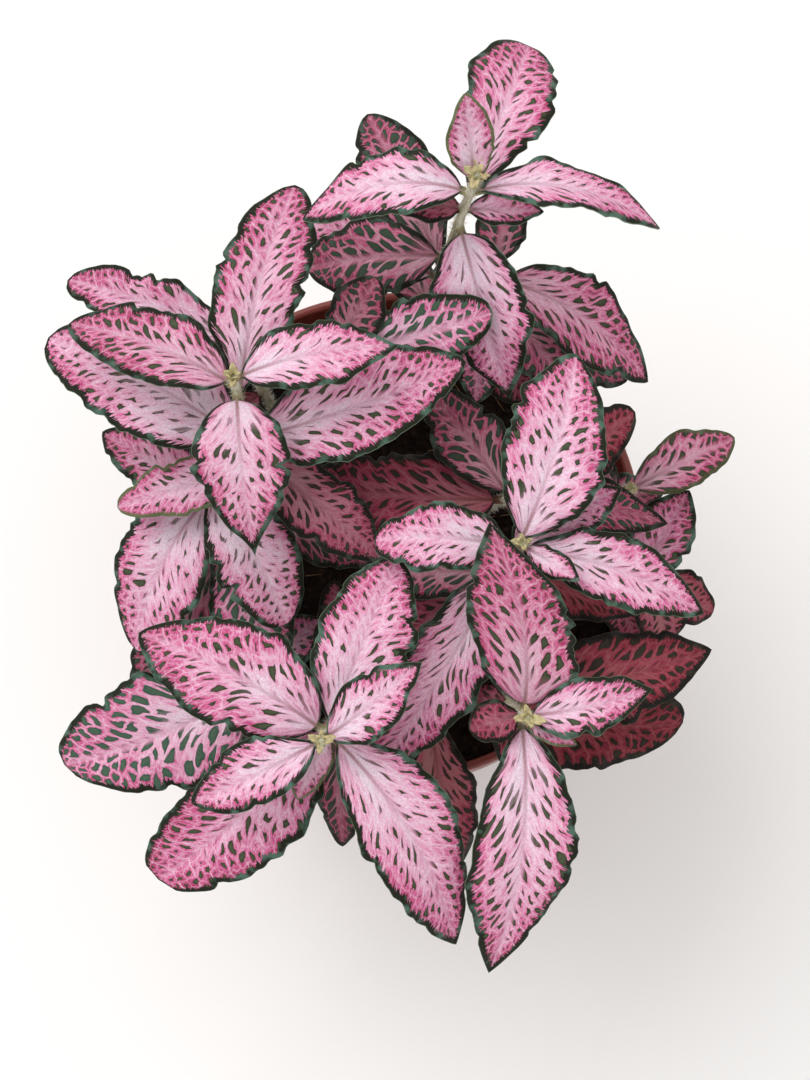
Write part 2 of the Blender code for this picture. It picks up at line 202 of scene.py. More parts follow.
# Helpers for colours, nodes and pieces
def linear(hexColour):
    channels = [int(hexColour[place:place + 2], 16) / 255 for place in (1, 3, 5)]
    return [*(c / 12.92 if c <= 0.04045 else ((c + 0.055) / 1.055) ** 2.4 for c in channels), 1]


def addNode(tree, kind, inputs, out=0, **settings):
    node = tree.nodes.new("ShaderNode" + kind)
    for name, value in settings.items():
        setattr(node, name, value)
    for socket, value in inputs.items():
        if isinstance(value, bpy.types.NodeSocket):
            tree.links.new(value, node.inputs[socket])
        else:
            node.inputs[socket].default_value = value
    return node.outputs[out]


def setRamp(colours, stops):
    ramp = colours.node.color_ramp
    while len(ramp.elements) < len(stops):
        ramp.elements.new(0.5)
    for element, (place, colour) in zip(ramp.elements, stops):
        element.position = place
        element.color = linear(colour)


def newMaterial(name):
    made = bpy.data.materials.new(name)
    made.use_nodes = True
    return made, made.node_tree, made.node_tree.nodes["Principled BSDF"]


def addPiece(name, shape, materials, replaced):
    mesh = bpy.data.meshes.new(name)
    shape.to_mesh(mesh)
    shape.free()
    mesh.shade_smooth()
    for each in materials:
        mesh.materials.append(each)
    piece = bpy.data.objects.new(name, mesh)
    bpy.context.scene.collection.objects.link(piece)
    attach(piece, "root")
    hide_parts(replaced)
    return piece


# Leaf skin: living tissue under a thin wax, so a soft broad gloss over a fine net of veins.
# "veins" holds the vein row, the cell along it and the share of the way from rib to edge.
# "blade" holds the share of the length and the distances from the rib and from the edge, in mm.
leafColours = {
    "body": [(0.0, "#EBD8E6"), (0.2, "#E9BED4"), (0.42, "#E09CBB"), (0.68, "#CE6292"),
             (0.95, "#AE3668")],
    "vein": "#EBD2DE", "darkIsland": "#303619", "greenIsland": "#2C5240",
    "islandMiddle": "#67755F", "rib": [(0.0, "#9C7F6C"), (0.15, "#B07F8C"), (0.5, "#D8B0C2")],
    # the margin's grey-green second colour is a painted sheen
    "margin": "#151B08", "paintedMarginSheen": "#4D6A5B", "youngMargin": "#8A9160", "lip": "#7C9279",
    # the brick-red shade tint is partly the older leaves' own colour and partly painted shade
    "leafStalk": "#A69F78", "bud": "#D2CC92", "redAndPaintedShade": "#A05F55", "underside": "#9A6468",
}
leafPattern = {
    # how many of each there are per vein row and per cell along it
    "streaks": (9.0, 0.9, 0), "patches": (0.4, 0.7, 0), "teeth": (5.4, 0.5, 0),
    "netPerCell": 3.0,
    # how far the cells stray from even rows
    "warp": (0.55, 0.55, 0), "irregular": 0.75,
    # a cell turns green where it lies further from its veins than this level
    "islandGain": -0.36, "islandLevel": 0.315, "islandLuck": 0.14, "islandLeast": 0.055,
    # the margin and the relief, in mm
    "toothReach": 3.1, "marginLeast": 0.5, "reliefDepth": 0.35,
    # the wax's gloss
    "ior": 1.42, "specular": 0.3,
}


def leafSkin(name, under):
    made, tree, shader = newMaterial(name)
    colours, pattern = leafColours, leafPattern
    veins = addNode(tree, "Attribute", {}, "Vector", attribute_name="veins")
    blade = addNode(tree, "Attribute", {}, "Vector", attribute_name="blade")
    look = addNode(tree, "Attribute", {}, "Vector", attribute_name="look")
    young = addNode(tree, "Attribute", {}, "Fac", attribute_name="young")
    spread = addNode(tree, "SeparateXYZ", {0: veins}, "Z")
    along = addNode(tree, "SeparateXYZ", {0: blade}, "X")
    fromRib = along.node.outputs["Y"]
    fromEdge = along.node.outputs["Z"]
    white = addNode(tree, "SeparateXYZ", {0: look}, "X")
    islandSize = white.node.outputs["Y"]
    brickAndShade = white.node.outputs["Z"]

    # streaks run out along the veins, which leave the rib about 3 mm apart
    place = addNode(tree, "VectorMath", {0: veins, 1: pattern["streaks"]}, operation="MULTIPLY")
    streak = addNode(tree, "TexNoise", {"Vector": place, "Scale": 1.0, "Detail": 3.0,
                                        "Roughness": 0.6}, noise_dimensions="2D")
    place = addNode(tree, "VectorMath", {0: veins, 1: pattern["patches"]}, operation="MULTIPLY")
    patch = addNode(tree, "TexNoise", {"Vector": place, "Scale": 1.0, "Detail": 2.0},
                    noise_dimensions="2D")

    # cells between the veins, with a finer net of veinlets inside them
    warp = addNode(tree, "TexNoise", {"Vector": veins, "Scale": 1.3, "Detail": 1.0}, "Color",
                   noise_dimensions="2D")
    warped = addNode(tree, "VectorMath", {0: warp, 1: pattern["warp"], 2: veins},
                     operation="MULTIPLY_ADD")
    cells = {"Vector": warped, "Scale": 1.0, "Randomness": pattern["irregular"]}
    edge = addNode(tree, "TexVoronoi", cells, "Distance", feature="DISTANCE_TO_EDGE",
                   voronoi_dimensions="2D")
    luck = addNode(tree, "TexVoronoi", cells, "Color", voronoi_dimensions="2D")
    luck = addNode(tree, "SeparateColor", {0: luck}, "Red")
    centre = addNode(tree, "TexVoronoi", cells, "Distance", voronoi_dimensions="2D")
    fineNet = addNode(tree, "TexVoronoi", dict(cells, Scale=pattern["netPerCell"]), "Distance",
                      feature="DISTANCE_TO_EDGE", voronoi_dimensions="2D")
    sideVein = addNode(tree, "SeparateXYZ", {0: warped}, "X")
    sideVein = addNode(tree, "Math", {0: sideVein, 1: 1.0}, operation="PINGPONG")
    sideVein = addNode(tree, "MapRange", {0: sideVein, 1: 0.03, 2: 0.12, 3: 1.0, 4: 0.0})

    # from white at the rib to magenta at the margin and tip, deeper between the veins
    depth = addNode(tree, "MapRange", {0: fromEdge, 1: 1.2, 2: 4.0, 3: 0.14, 4: 0.0})
    for part, weight in ((spread, 0.40), (along, 0.66), (streak, 0.30), (patch, 0.60),
                         (edge, 0.50), (fineNet, 0.35), (white, -0.40)):
        depth = addNode(tree, "Math", {0: part, 1: weight, 2: depth}, operation="MULTIPLY_ADD")
    depth = addNode(tree, "Math", {0: depth, 1: 0.40}, operation="SUBTRACT")
    body = addNode(tree, "ValToRGB", {0: depth})
    setRamp(body, colours["body"])

    # pale veins
    vein = addNode(tree, "MapRange", {0: edge, 1: 0.02, 2: 0.09, 3: 0.25, 4: 0.0})
    veinlet = addNode(tree, "MapRange", {0: fineNet, 1: 0.03, 2: 0.14, 3: 0.12, 4: 0.0})
    vein = addNode(tree, "Math", {0: vein, 1: veinlet}, operation="ADD")
    vein = addNode(tree, "Math", {0: sideVein, 1: 0.30, 2: vein}, operation="MULTIPLY_ADD")
    body = addNode(tree, "Mix", {0: vein, 6: body, 7: linear(colours["vein"])}, 2,
                   data_type="RGBA")

    # islands of green between the veins, fewer at the rib and none at the leaf's root
    level = addNode(tree, "Math", {0: islandSize, 1: pattern["islandGain"],
                                   2: pattern["islandLevel"]}, operation="MULTIPLY_ADD")
    level = addNode(tree, "Math", {0: luck, 1: pattern["islandLuck"], 2: level},
                    operation="MULTIPLY_ADD")
    level = addNode(tree, "Math", {0: level, 1: pattern["islandLeast"]}, operation="MAXIMUM")
    level = addNode(tree, "Math", {0: edge, 1: level}, operation="SUBTRACT")
    rounded = addNode(tree, "Math", {0: centre, 1: -0.8, 2: 0.38}, operation="MULTIPLY_ADD")
    level = addNode(tree, "Math", {0: level, 1: rounded, 2: 0.12}, operation="SMOOTH_MIN")
    island = addNode(tree, "MapRange", {0: level, 1: 0.0, 2: 0.03, 3: 0.0, 4: 1.0})
    for part, low, high, least in ((depth, 0.05, 0.38, 0.45), (fromRib, 0.5, 1.3, 0.15),
                                   (along, 0.07, 0.25, 0.0)):
        share = addNode(tree, "MapRange", {0: part, 1: low, 2: high, 3: least, 4: 1.0})
        island = addNode(tree, "Math", {0: island, 1: share}, operation="MULTIPLY")
    middle = addNode(tree, "MapRange", {0: level, 1: 0.04, 2: 0.18, 3: 0.0, 4: 0.3})
    greenness = addNode(tree, "MapRange", {0: islandSize, 1: 0.50, 2: 0.62, 3: 0.0, 4: 1.0})
    islandColour = addNode(tree, "Mix", {0: greenness, 6: linear(colours["darkIsland"]),
                                         7: linear(colours["greenIsland"])}, 2, data_type="RGBA")
    islandColour = addNode(tree, "Mix", {0: middle, 6: islandColour,
                                         7: linear(colours["islandMiddle"])}, 2,
                           data_type="RGBA")
    skin = addNode(tree, "Mix", {0: island, 6: body, 7: islandColour}, 2, data_type="RGBA")

    # midrib about 0.8 mm wide, dusky at the root
    rib = addNode(tree, "MapRange", {0: fromRib, 1: 0.2, 2: 0.55, 3: 1.0, 4: 0.0})
    fade = addNode(tree, "MapRange", {0: along, 1: 0.1, 2: 0.7, 3: 0.9, 4: 0.3})
    rib = addNode(tree, "Math", {0: rib, 1: fade}, operation="MULTIPLY")
    ribColour = addNode(tree, "ValToRGB", {0: along})
    setRamp(ribColour, colours["rib"])
    skin = addNode(tree, "Mix", {0: rib, 6: skin, 7: ribColour}, 2, data_type="RGBA")

    # green margin with ragged teeth that point along the veins, with a painted grey-green sheen
    # in patches of 4 mm
    place = addNode(tree, "VectorMath", {0: veins, 1: pattern["teeth"]}, operation="MULTIPLY")
    tooth = addNode(tree, "TexNoise", {"Vector": place, "Scale": 1.0, "Detail": 2.0,
                                       "Roughness": 0.6}, noise_dimensions="2D")
    reach = addNode(tree, "Math", {0: tooth, 1: pattern["toothReach"], 2: -0.10},
                    operation="MULTIPLY_ADD")
    reach = addNode(tree, "Math", {0: reach, 1: pattern["marginLeast"]}, operation="MAXIMUM")
    for part, low, high, first, last in ((along, 0.04, 0.25, 0.45, 1.0),
                                         (young, 0.0, 1.0, 1.0, 0.25)):
        fade = addNode(tree, "MapRange", {0: part, 1: low, 2: high, 3: first, 4: last})
        reach = addNode(tree, "Math", {0: reach, 1: fade}, operation="MULTIPLY")
    inner = addNode(tree, "Math", {0: reach, 1: 0.12}, operation="ADD")
    margin = addNode(tree, "MapRange", {0: fromEdge, 1: reach, 2: inner, 3: 1.0, 4: 0.0})
    where = addNode(tree, "TexCoord", {}, "Object")
    paintedSheenPatch = addNode(tree, "TexNoise", {"Vector": where, "Scale": 260.0, "Detail": 2.0})
    paintedSheenPatch = addNode(tree, "MapRange", {0: paintedSheenPatch, 1: 0.52, 2: 0.66, 3: 0.0, 4: 1.0})
    marginColour = addNode(tree, "Mix", {0: paintedSheenPatch, 6: linear(colours["margin"]),
                                         7: linear(colours["paintedMarginSheen"])}, 2,
                           data_type="RGBA")
    marginColour = addNode(tree, "Mix", {0: young, 6: marginColour,
                                         7: linear(colours["youngMargin"])}, 2,
                           data_type="RGBA")
    skin = addNode(tree, "Mix", {0: margin, 6: skin, 7: marginColour}, 2, data_type="RGBA")
    lip = addNode(tree, "MapRange", {0: fromEdge, 1: 0.05, 2: 0.18, 3: 0.6, 4: 0.0})
    skin = addNode(tree, "Mix", {0: lip, 6: skin, 7: linear(colours["lip"])}, 2,
                   data_type="RGBA")

    # velvety grain of the leaf's raised cells, drawn 0.4 mm wide so that it shows; its lighter
    # specks are partly painted glints
    grain = addNode(tree, "TexNoise", {"Vector": where, "Scale": 2500.0, "Detail": 1.0})
    grainAndGlints = addNode(tree, "MapRange", {0: grain, 1: 0.3, 2: 0.7, 3: 0.87, 4: 1.11})
    grainAndGlints = addNode(tree, "CombineColor", {0: grainAndGlints, 1: grainAndGlints, 2: grainAndGlints})
    skin = addNode(tree, "Mix", {0: 1.0, 6: skin, 7: grainAndGlints}, 2, data_type="RGBA",
                   blend_type="MULTIPLY")

    # leaf stalk, and buds that are green all over
    stalk = addNode(tree, "MapRange", {0: along, 1: 0.03, 2: 0.075, 3: 1.0, 4: 0.0})
    bud = addNode(tree, "MapRange", {0: young, 1: 0.9, 2: 1.0, 3: 0.0, 4: 0.85})
    for share, colour in ((stalk, "leafStalk"), (bud, "bud")):
        skin = addNode(tree, "Mix", {0: share, 6: skin, 7: linear(colours[colour])}, 2,
                       data_type="RGBA")

    # leaves low in the plant are darkened to brick red: partly their own colour, partly painted
    # shade
    redAndPaintedShade = addNode(tree, "Mix", {0: brickAndShade, 6: (1, 1, 1, 1), 7: linear(colours["redAndPaintedShade"])}, 2,
                     data_type="RGBA")
    skin = addNode(tree, "Mix", {0: 1.0, 6: skin, 7: redAndPaintedShade}, 2, data_type="RGBA",
                   blend_type="MULTIPLY")
    if under:
        skin = addNode(tree, "Mix", {0: 0.6, 6: skin, 7: linear(colours["underside"])}, 2,
                       data_type="RGBA")
    tree.links.new(skin, shader.inputs["Base Color"])

    relief = addNode(tree, "Math", {0: edge, 1: 0.9, 2: streak}, operation="MULTIPLY_ADD")
    relief = addNode(tree, "Math", {0: grain, 1: 0.35, 2: relief}, operation="MULTIPLY_ADD")
    bump = addNode(tree, "Bump", {"Strength": 0.55, "Distance": pattern["reliefDepth"] * mm,
                                  "Height": relief})
    tree.links.new(bump, shader.inputs["Normal"])
    gloss = addNode(tree, "MapRange", {0: streak, 1: 0.0, 2: 1.0, 3: 0.40, 4: 0.60})
    tree.links.new(gloss, shader.inputs["Roughness"])
    shader.inputs["IOR"].default_value = pattern["ior"]
    shader.inputs["Specular IOR Level"].default_value = pattern["specular"]
    return made


# Leaf blades, in mm where a value is a length. A stem's bend is the power its lean grows by.
stemBend = 1.6
bladeForm = {
    # the blade, and the petiole that is its first part
    "thickness": 0.35, "edgeThinning": 0.4, "fullness": 0.7, "petiole": 0.06,
    "petioleHalf": 0.9,
    # folded up from the rib, curled down at the edge, waved and ruffled
    "fold": 0.22, "curl": 0.16, "wave": 0.8, "waves": 2.6, "phaseStep": 2.4,
    "ruffle": 1.1, "ruffleLength": 3.6,
    # the groove above the midrib, the rib below it and the quilting between the veins
    "groove": 0.35, "grooveHalf": 0.8, "rib": 1.1, "ribHalf": 0.75, "ribTaper": 0.85,
    "quilt": 0.16,
    # the uneven edge, which has more notches on leaves over a length and is even at both ends
    "lobe": 0.16, "lobeLength": 6.5, "scallop": 0.07, "scallopLength": 2.2,
    "notches": 4, "notchPlace": (0.35, 0.88), "notchDepth": (0.06, 0.17), "notchHalf": 1.3,
    "notchedFrom": 25, "evenRoot": 0.2, "evenTip": 0.12,
    # a leaf narrower than usual has a narrower green margin
    "usualWidth": 20,
    # a leaf shorter than smallBelow has the coarser grid
    "smallBelow": 19, "largeGrid": (64, 30), "smallGrid": (32, 16),
    "seed": 11,
}
# side veins: how many there are, and how they lean and bend towards the tip
veinForm = {"rowsLeast": 4, "rowsPerMm": 0.25, "cellsLeast": 1.3, "cellsPerMm": 0.085,
            "lean": 0.65, "bend": 0.8, "netScale": 0.85}


def bladeBlank(rows, columns):
    # a flat unit slab: x runs from root to tip, y across, z is 0 on top and -1 underneath
    shape = bmesh.new()
    bmesh.ops.create_grid(shape, x_segments=rows, y_segments=columns, size=1)
    doubled = bmesh.ops.extrude_face_region(shape, geom=shape.faces[:], use_keep_orig=True)
    lower = [part for part in doubled["geom"] if isinstance(part, bmesh.types.BMVert)]
    bmesh.ops.translate(shape, verts=lower, vec=(0, 0, -1))
    bmesh.ops.recalc_face_normals(shape, faces=shape.faces)
    for face in shape.faces:
        face.material_index = 1 if face.normal.z < -0.5 else 0
    mesh = bpy.data.meshes.new("bladeBlank")
    shape.to_mesh(mesh)
    shape.free()
    return mesh


def halfWidth(leaf, s):
    if s >= 1:
        return 0
    u = max(0, (s - bladeForm["petiole"]) / (1 - bladeForm["petiole"]))
    outline = math.sin(math.pi * u ** (math.log(0.5) / math.log(leaf.belly)))
    outline **= bladeForm["fullness"] + leaf.tip * u
    return max(leaf.width / 2 * outline, bladeForm["petioleHalf"] * (1 - s))


def bladePoint(leaf, phase, s, t, lower, half, row):
    # s runs from 0 at the root to 1 at the tip, and t from -1 to 1 across the blade
    form = bladeForm
    rise, droop, roll = (math.radians(angle) for angle in (leaf.rise, leaf.droop, leaf.roll))
    tilt = rise - droop * s
    reach = leaf.length / droop
    spread = abs(t)
    side = 2 if t > 0 else 0
    wave = form["wave"] * math.sin(2 * math.pi * form["waves"] * s + phase + side) * spread ** 2
    lift = half * (form["fold"] * spread - form["curl"] * spread ** 3)
    lift += wave * half * 2 / leaf.width
    y = half * spread
    body = math.sin(math.pi * min(1, s * 1.02))
    ruffle = noise.noise((s * leaf.length / form["ruffleLength"], phase, side * 9))
    lift += form["ruffle"] * ruffle * spread ** 4 * body
    groove = math.exp(-(y / form["grooveHalf"]) ** 2)
    lift -= form["groove"] * groove * (1 - s) * min(1, 12 * s)
    quilt = 0.5 - 0.5 * math.cos(2 * math.pi * row)
    lift += form["quilt"] * quilt * math.sin(math.pi * spread) * body
    if lower:
        rib = form["rib"] * math.exp(-(y / form["ribHalf"]) ** 2) * (1 - form["ribTaper"] * s)
        lift -= form["thickness"] * (1 - form["edgeThinning"] * spread ** 3) + rib
    along = Vector((reach * (math.sin(rise) - math.sin(tilt)),
                    leaf.length * math.radians(leaf.sway) * s * s,
                    reach * (math.cos(tilt) - math.cos(rise))))
    up = Vector((-math.sin(tilt), 0, math.cos(tilt)))
    left = Vector((0, 1, 0))
    across = left * math.cos(roll) + up * math.sin(roll)
    normal = up * math.cos(roll) - left * math.sin(roll)
    return along + across * (half * t) + normal * lift


def trimmed(leaf, s, t, seed, notches):
    # the uneven edge: slow lobes, small scallops and a few torn notches
    side = 1 if t > 0 else 0
    far = s * leaf.length
    form = bladeForm
    trim = 1 + form["lobe"] * noise.noise((far / form["lobeLength"], seed, side * 9))
    trim += form["scallop"] * noise.noise((far / form["scallopLength"], seed, 5 + side * 9))
    for notchSide, where, deep in notches:
        if notchSide == side:
            trim -= deep * max(0, 1 - abs(s - where) * leaf.length / form["notchHalf"])
    settle = min(1, s / form["evenRoot"]) * min(1, (1 - s) / form["evenTip"])
    return 1 + (trim - 1) * settle


def climbed(stem, height):
    soilTop = soilHigh.z / mm
    return max(0, (height - soilTop) / (stem["tip"][2] - soilTop))


def stemPoint(stem, height):
    # stems rise straight from the peat and lean out more and more towards their tips
    foot, tip = stem["foot"], stem["tip"]
    lean = climbed(stem, height) ** stemBend
    return Vector((foot[0] + (tip[0] - foot[0]) * lean, foot[1] + (tip[1] - foot[1]) * lean,
                   height))


def cutBlade(shape, leaf, phase, base, draw):
    # shape holds a blank; its points become the leaf's, and each keeps where it is on the leaf
    form = bladeForm
    veins = shape.verts.layers.float_vector.new("veins")
    blade = shape.verts.layers.float_vector.new("blade")
    look = shape.verts.layers.float_vector.new("look")
    young = shape.verts.layers.float.new("young")
    white, islands, brickAndShade, yellow = looks[leaf.look]
    white += draw.uniform(-lookSpread["white"], lookSpread["white"])
    islands += draw.uniform(-lookSpread["islands"], lookSpread["islands"])
    brickAndShade = max(0, brickAndShade + draw.uniform(-lookSpread["brickAndShade"], lookSpread["brickAndShade"]))
    seed = Vector((draw.uniform(0, 90), draw.uniform(0, 90)))
    notches = [(draw.choice((0, 1)), draw.uniform(*form["notchPlace"]),
                draw.uniform(*form["notchDepth"]))
               for _ in range(form["notches"] if leaf.length > form["notchedFrom"] else 1)]
    coarse = veinForm["netScale"] if islands > 0.5 else 1  # netted leaves have larger cells
    rows = (veinForm["rowsLeast"] + veinForm["rowsPerMm"] * leaf.length) * coarse
    cells = (veinForm["cellsLeast"] + veinForm["cellsPerMm"] * leaf.width) * coarse
    marginScale = math.sqrt(max(1, form["usualWidth"] / leaf.width))
    turn = Matrix.Rotation(math.radians(leaf.azimuth), 4, "Z")
    place = Matrix.Translation(base * mm) @ turn @ Matrix.Scale(mm, 4)
    for vert in shape.verts:
        s = (vert.co.x + 1) / 2
        t = vert.co.y
        lower = vert.co.z < -0.5
        half = halfWidth(leaf, s) * trimmed(leaf, s, t, seed.x, notches)
        flow = 1 - (1 - s) * (1 + veinForm["lean"] * abs(t) ** veinForm["bend"])
        row = rows * (0.5 * flow + 0.5 * max(0, flow) ** 2)
        vert.co = place @ bladePoint(leaf, phase, s, t, lower, half, row)
        vert[veins] = (row + seed.x, t * cells + seed.y, abs(t))
        vert[blade] = (s, half * abs(t), half * (1 - abs(t)) * marginScale)
        vert[look] = (white, islands, brickAndShade)
        vert[young] = yellow
    bmesh.ops.remove_doubles(shape, verts=shape.verts, dist=0.01 * mm)


topSkin = leafSkin("leafUpperSkin", False)
underSkin = leafSkin("leafUnderside", True)
largeBlank = bladeBlank(*bladeForm["largeGrid"])
smallBlank = bladeBlank(*bladeForm["smallGrid"])


def makeLeaves():
    draw = random.Random(bladeForm["seed"])
    for name, stem in stems.items():
        for index, leaf in enumerate(stem["leaves"]):
            shape = bmesh.new()
            small = leaf.length < bladeForm["smallBelow"]
            shape.from_mesh(smallBlank if small else largeBlank)
            phase = bladeForm["phaseStep"] * index  # so that neighbours wave differently
            cutBlade(shape, leaf, phase, stemPoint(stem, leaf.height), draw)
            addPiece(f"{name}_leaf_{index + 1:02d}", shape, [topSkin, underSkin], name)
        print(name, "has", len(stem["leaves"]), "leaves")


makeLeaves()


# Stalks, in mm: soft green stems under a coat of short white hairs, and a few tiny leaves on top
stalkForm = {"radius": 1.5, "taper": 0.45, "sides": 14, "rings": 60, "buried": 12.7,
             "node": 0.22, "nodeHalf": 1.3, "hairs": 900, "hairLength": (0.7, 1.5),
             "hairRadius": 0.06, "hairRise": (-0.5, 0.6), "hairRoot": 0.95, "crowding": 1.3,
             "seed": 23}
budForm = {"leaves": 4, "length": (2.6, 5.2), "widthShare": 0.42, "rise": (45, 80), "droop": 25,
           "turn": 20, "sunk": 0.8, "tallAbove": 150, "shortShare": 0.55}


def stalkSkin():
    # a fleshy stem with fine ribs about 1 mm apart and 8 mm long, so its gloss is soft
    made, tree, shader = newMaterial("greenStalk")
    where = addNode(tree, "TexCoord", {}, "Object")
    stretched = addNode(tree, "Mapping", {0: where, 3: (900, 900, 120)})
    fibre = addNode(tree, "TexNoise", {"Vector": stretched, "Scale": 1.0, "Detail": 3.0})
    colour = addNode(tree, "ValToRGB", {0: fibre})
    setRamp(colour, [(0.3, "#8C8968"), (0.5, "#B0AE8E"), (0.7, "#D6D5C2")])
    tree.links.new(colour, shader.inputs["Base Color"])
    bump = addNode(tree, "Bump", {"Strength": 0.3, "Distance": 0.2 * mm, "Height": fibre})
    tree.links.new(bump, shader.inputs["Normal"])
    shader.inputs["Roughness"].default_value = 0.6
    return made


def hairSkin():
    # a plant hair is a clear dead cell, so it reads as a soft white that varies every 2.5 mm
    made, tree, shader = newMaterial("plantHair")
    where = addNode(tree, "TexCoord", {}, "Object")
    tint = addNode(tree, "TexNoise", {"Vector": where, "Scale": 400.0})
    colour = addNode(tree, "ValToRGB", {0: tint})
    setRamp(colour, [(0.35, "#C9C2AE"), (0.65, "#F1EDE2")])
    tree.links.new(colour, shader.inputs["Base Color"])
    shader.inputs["Roughness"].default_value = 0.5
    return made


def stalkRadius(stem, height):
    # thinner towards the tip, with a swelling wherever leaves are set on
    form = stalkForm
    swell = sum(math.exp(-((height - leaf.height) / form["nodeHalf"]) ** 2)
                for leaf in stem["leaves"])
    slim = 1 - form["taper"] * climbed(stem, height)
    return form["radius"] * slim * (1 + form["node"] * min(1.2, swell))


def makeStalk(name, stem, skins, draw):
    form = stalkForm
    bottom = soilHigh.z / mm - form["buried"]
    top = stem["tip"][2]
    shape = bmesh.new()
    bmesh.ops.create_cone(shape, cap_ends=True, segments=form["sides"], radius1=1, radius2=1,
                          depth=1)
    upright = [edge for edge in shape.edges
               if abs(edge.verts[0].co.z - edge.verts[1].co.z) > 0.5]
    bmesh.ops.subdivide_edges(shape, edges=upright, cuts=form["rings"])
    for vert in shape.verts:
        height = bottom + (vert.co.z + 0.5) * (top - bottom)
        radius = stalkRadius(stem, height)
        vert.co = (stemPoint(stem, height) + Vector((vert.co.x, vert.co.y, 0)) * radius) * mm
    # hairs stand thickest near the tip, each with its root just under the skin
    for _ in range(form["hairs"]):
        height = top - (top - soilHigh.z / mm) * draw.random() ** form["crowding"]
        angle = draw.uniform(0, 2 * math.pi)
        out = Vector((math.cos(angle), math.sin(angle), 0))
        lean = (out + Vector((0, 0, draw.uniform(*form["hairRise"])))).normalized()
        length = draw.uniform(*form["hairLength"])
        root = stemPoint(stem, height) + out * stalkRadius(stem, height) * form["hairRoot"]
        place = Matrix.Translation((root + lean * length / 2) * mm)
        place @= lean.to_track_quat("Z", "X").to_matrix().to_4x4()
        hair = bmesh.ops.create_cone(shape, cap_ends=False, segments=3, depth=length * mm,
                                     radius1=form["hairRadius"] * mm, radius2=0, matrix=place)
        for face in {face for vert in hair["verts"] for face in vert.link_faces}:
            face.material_index = 1
    addPiece(name + "_stalk", shape, skins, name)


def makeBuds(name, stem, draw):
    # the youngest leaves stand folded in a star at the tip, longest on the tallest stems
    form = budForm
    shape = bmesh.new()
    vigour = 1 if stem["tip"][2] > form["tallAbove"] else form["shortShare"]
    for step in range(form["leaves"]):
        length = draw.uniform(*form["length"]) * vigour
        azimuth = 360 / form["leaves"] * step + draw.uniform(-form["turn"], form["turn"])
        leaf = Leaf(stem["tip"][2], azimuth, length, length * form["widthShare"],
                    draw.uniform(*form["rise"]), form["droop"], "bud")
        single = bmesh.new()
        single.from_mesh(smallBlank)
        cutBlade(single, leaf, step, stemPoint(stem, leaf.height - form["sunk"]), draw)
        mesh = bpy.data.meshes.new("bud")
        single.to_mesh(mesh)
        single.free()
        shape.from_mesh(mesh)
        bpy.data.meshes.remove(mesh)
    addPiece(name + "_buds", shape, [topSkin, underSkin], name)


def makeStalks():
    draw = random.Random(stalkForm["seed"])
    skins = [stalkSkin(), hairSkin()]
    for name, stem in stems.items():
        makeStalk(name, stem, skins, draw)
        makeBuds(name, stem, draw)
    print("stalks and buds made")


makeStalks()


# Pot, in mm: injection-moulded polypropylene, satin, with a few stacking scratches
# The lip's foot and the neck are given as how far they lie in from the rim and down from it.
potForm = {"sides": 128, "wall": 1.4, "lipWidth": 2.2, "lipSteps": 10, "lipFoot": (0.1, 2.4),
           "neck": (0.5, 3.0), "collarDepth": 25, "collarTaper": 1.6, "collarStep": 1.2,
           "baseRadius": 42, "baseEdge": 1.0, "footRing": 4, "footRise": 0.6, "floor": 2.0,
           "fillet": 0.4, "drainHoles": 5, "drainRadius": 4, "drainRing": 29}


def turnProfile(points, steps):
    shape = bmesh.new()
    verts = [shape.verts.new((radius * mm, 0, height * mm)) for radius, height in points]
    edges = [shape.edges.new(pair) for pair in zip(verts, verts[1:])]
    bmesh.ops.spin(shape, geom=verts + edges, cent=(0, 0, 0), axis=(0, 0, 1),
                   angle=2 * math.pi, steps=steps, use_merge=True)
    bmesh.ops.remove_doubles(shape, verts=shape.verts, dist=0.01 * mm)
    bmesh.ops.recalc_face_normals(shape, faces=shape.faces)
    return shape


